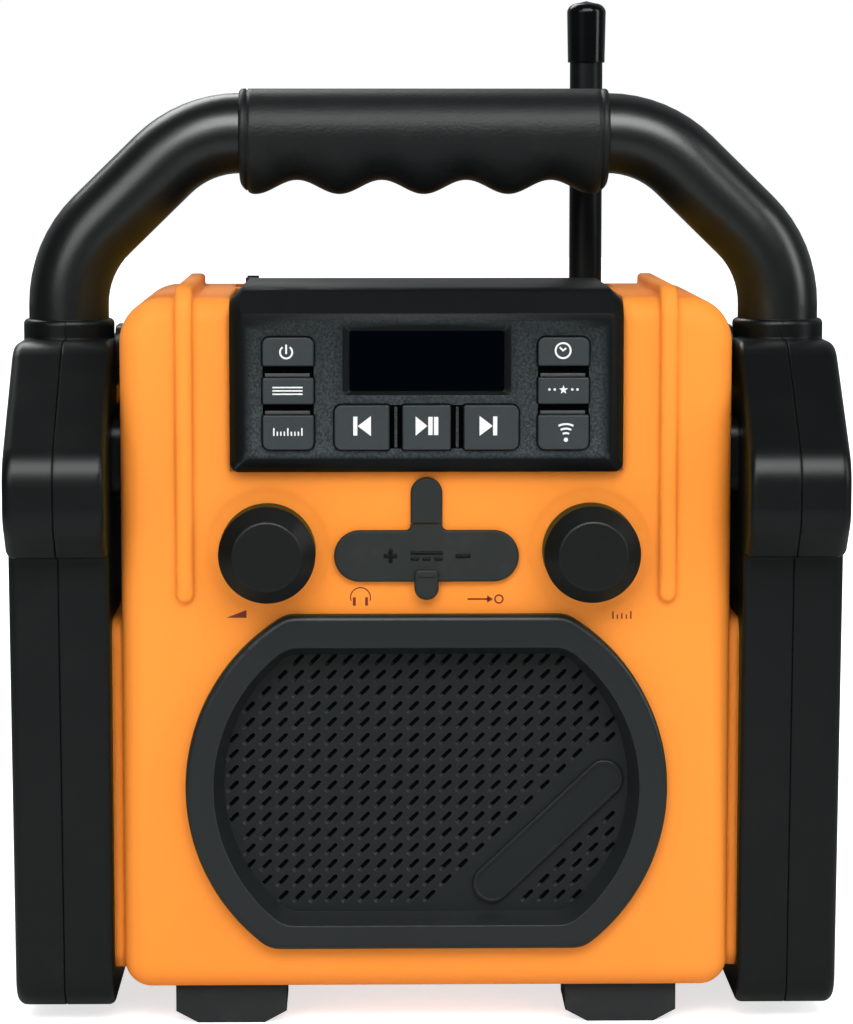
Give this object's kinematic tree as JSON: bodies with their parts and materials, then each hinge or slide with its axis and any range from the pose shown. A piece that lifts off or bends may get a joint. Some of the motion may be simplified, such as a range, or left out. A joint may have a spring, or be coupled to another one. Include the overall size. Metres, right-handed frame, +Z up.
{
  "type": "jobsite radio",
  "caption": "Orange box radio carried in two black side frames with a tube handle, panel with display and keys, two knobs, round-sided speaker and fold-down antenna.",
  "frame": {"origin": "middle of the underside of the feet, on the ground", "axes": "+X to the right of the front, +Y to the back, +Z up"},
  "size_m": [0.2412, 0.1286, 0.3011],
  "materials": {
    "orange_plastic": "satin moulded orange",
    "black_grained_plastic": "fine-grained black",
    "dark_plastic": "smooth dark grey",
    "rubber": "matte rubber",
    "steel": "zinc plated",
    "gloss_window": "gloss, tinted",
    "lcd": "display",
    "circuit_board": "solder mask",
    "ferrite": "dull ceramic magnet",
    "paper_cone": "pressed paper",
    "cell_wrap": "plain cell wrap"
  },
  "bodies": {
    "chassis": {"front_shell": "orange_plastic", "rear_shell": "orange_plastic", "side_pads": "orange_plastic", "shell_gasket": "rubber", "housing_screws": "steel", "control_panel": "black_grained_plastic", "display_lens": "gloss_window", "display_module": "lcd", "control_board": "circuit_board", "tact_switches": "dark_plastic", "volume_control": "steel", "tuning_encoder": "steel", "knob_nuts": "steel", "port_cover_anchor": "rubber", "headphone_jack": "dark_plastic", "aux_jack": "dark_plastic", "usb_socket": "steel", "speaker_bezel": "dark_plastic", "speaker_grille": "dark_plastic", "name_plate": "dark_plastic", "speaker_basket": "steel", "speaker_magnet": "ferrite", "speaker_surround": "rubber", "antenna_base": "dark_plastic", "antenna_pin": "steel", "antenna_clip": "dark_plastic", "handle_tube": "black_grained_plastic", "handle_grip": "rubber", "frame_left_inner": "black_grained_plastic", "frame_left_outer": "black_grained_plastic", "frame_right_inner": "black_grained_plastic", "frame_right_outer": "black_grained_plastic", "frame_screws": "steel", "frame_bolts": "steel", "hub_spacers": "black_grained_plastic", "feet": "rubber", "battery_cells": "cell_wrap", "battery_contacts": "steel", "dc_inlet": "dark_plastic", "main_board": "circuit_board"},
    "volume": {"volume_knob": "black_grained_plastic", "volume_shaft": "steel"},
    "tuning": {"tuning_knob": "black_grained_plastic", "tuning_shaft": "steel"},
    "port_cover": {"port_cover_flap": "rubber"},
    "antenna": {"antenna_rod": "rubber", "antenna_cap": "rubber"},
    "door": {"battery_door": "orange_plastic", "battery_latch": "dark_plastic"},
    "cone": {"speaker_cone": "paper_cone", "dust_cap": "paper_cone"},
    "key_power": {"button_power": "dark_plastic"},
    "key_mode": {"button_mode": "dark_plastic"},
    "key_scan": {"button_scan": "dark_plastic"},
    "key_clock": {"button_clock": "dark_plastic"},
    "key_program": {"button_program": "dark_plastic"},
    "key_wireless": {"button_wireless": "dark_plastic"},
    "key_previous": {"button_previous": "dark_plastic"},
    "key_play": {"button_play": "dark_plastic"},
    "key_next": {"button_next": "dark_plastic"}
  },
  "joints": [
    {"name": "volume_turn", "type": "hinge", "parent": "chassis", "child": "volume", "pos_m": [-0.04585, -0.05, 0.1411], "axis": [0, 1, 0], "range_deg": [-150, 150]},
    {"name": "tuning_turn", "type": "hinge", "parent": "chassis", "child": "tuning", "pos_m": [0.04735, -0.05, 0.1411], "axis": [0, 1, 0], "continuous": true},
    {"name": "port_cover_lift", "type": "hinge", "parent": "chassis", "child": "port_cover", "pos_m": [0, -0.04605, 0.149], "axis": [-1, 0, 0], "range_deg": [0, 110]},
    {"name": "antenna_fold", "type": "hinge", "parent": "chassis", "child": "antenna", "pos_m": [0.0505, 0.035, 0.198], "axis": [0, -1, 0], "range_deg": [0, 90]},
    {"name": "battery_door_open", "type": "hinge", "parent": "chassis", "child": "door", "pos_m": [0, 0.0542, 0.0302], "axis": [-1, 0, 0], "range_deg": [0, 90]},
    {"name": "cone_stroke", "type": "slide", "parent": "chassis", "child": "cone", "axis": [0, 1, 0], "range_m": [-0.001, 0.001], "stiffness_N_per_m": 1200},
    {"name": "press_power", "type": "slide", "parent": "chassis", "child": "key_power", "axis": [0, 1, 0], "range_m": [0, 0.001], "stiffness_N_per_m": 600, "springref_m": -0.0008},
    {"name": "press_mode", "type": "slide", "parent": "chassis", "child": "key_mode", "axis": [0, 1, 0], "range_m": [0, 0.001], "stiffness_N_per_m": 600, "springref_m": -0.0008},
    {"name": "press_scan", "type": "slide", "parent": "chassis", "child": "key_scan", "axis": [0, 1, 0], "range_m": [0, 0.001], "stiffness_N_per_m": 600, "springref_m": -0.0008},
    {"name": "press_clock", "type": "slide", "parent": "chassis", "child": "key_clock", "axis": [0, 1, 0], "range_m": [0, 0.001], "stiffness_N_per_m": 600, "springref_m": -0.0008},
    {"name": "press_program", "type": "slide", "parent": "chassis", "child": "key_program", "axis": [0, 1, 0], "range_m": [0, 0.001], "stiffness_N_per_m": 600, "springref_m": -0.0008},
    {"name": "press_wireless", "type": "slide", "parent": "chassis", "child": "key_wireless", "axis": [0, 1, 0], "range_m": [0, 0.001], "stiffness_N_per_m": 600, "springref_m": -0.0008},
    {"name": "press_previous", "type": "slide", "parent": "chassis", "child": "key_previous", "axis": [0, 1, 0], "range_m": [0, 0.001], "stiffness_N_per_m": 600, "springref_m": -0.0008},
    {"name": "press_play", "type": "slide", "parent": "chassis", "child": "key_play", "axis": [0, 1, 0], "range_m": [0, 0.001], "stiffness_N_per_m": 600, "springref_m": -0.0008},
    {"name": "press_next", "type": "slide", "parent": "chassis", "child": "key_next", "axis": [0, 1, 0], "range_m": [0, 0.001], "stiffness_N_per_m": 600, "springref_m": -0.0008}
  ]
}
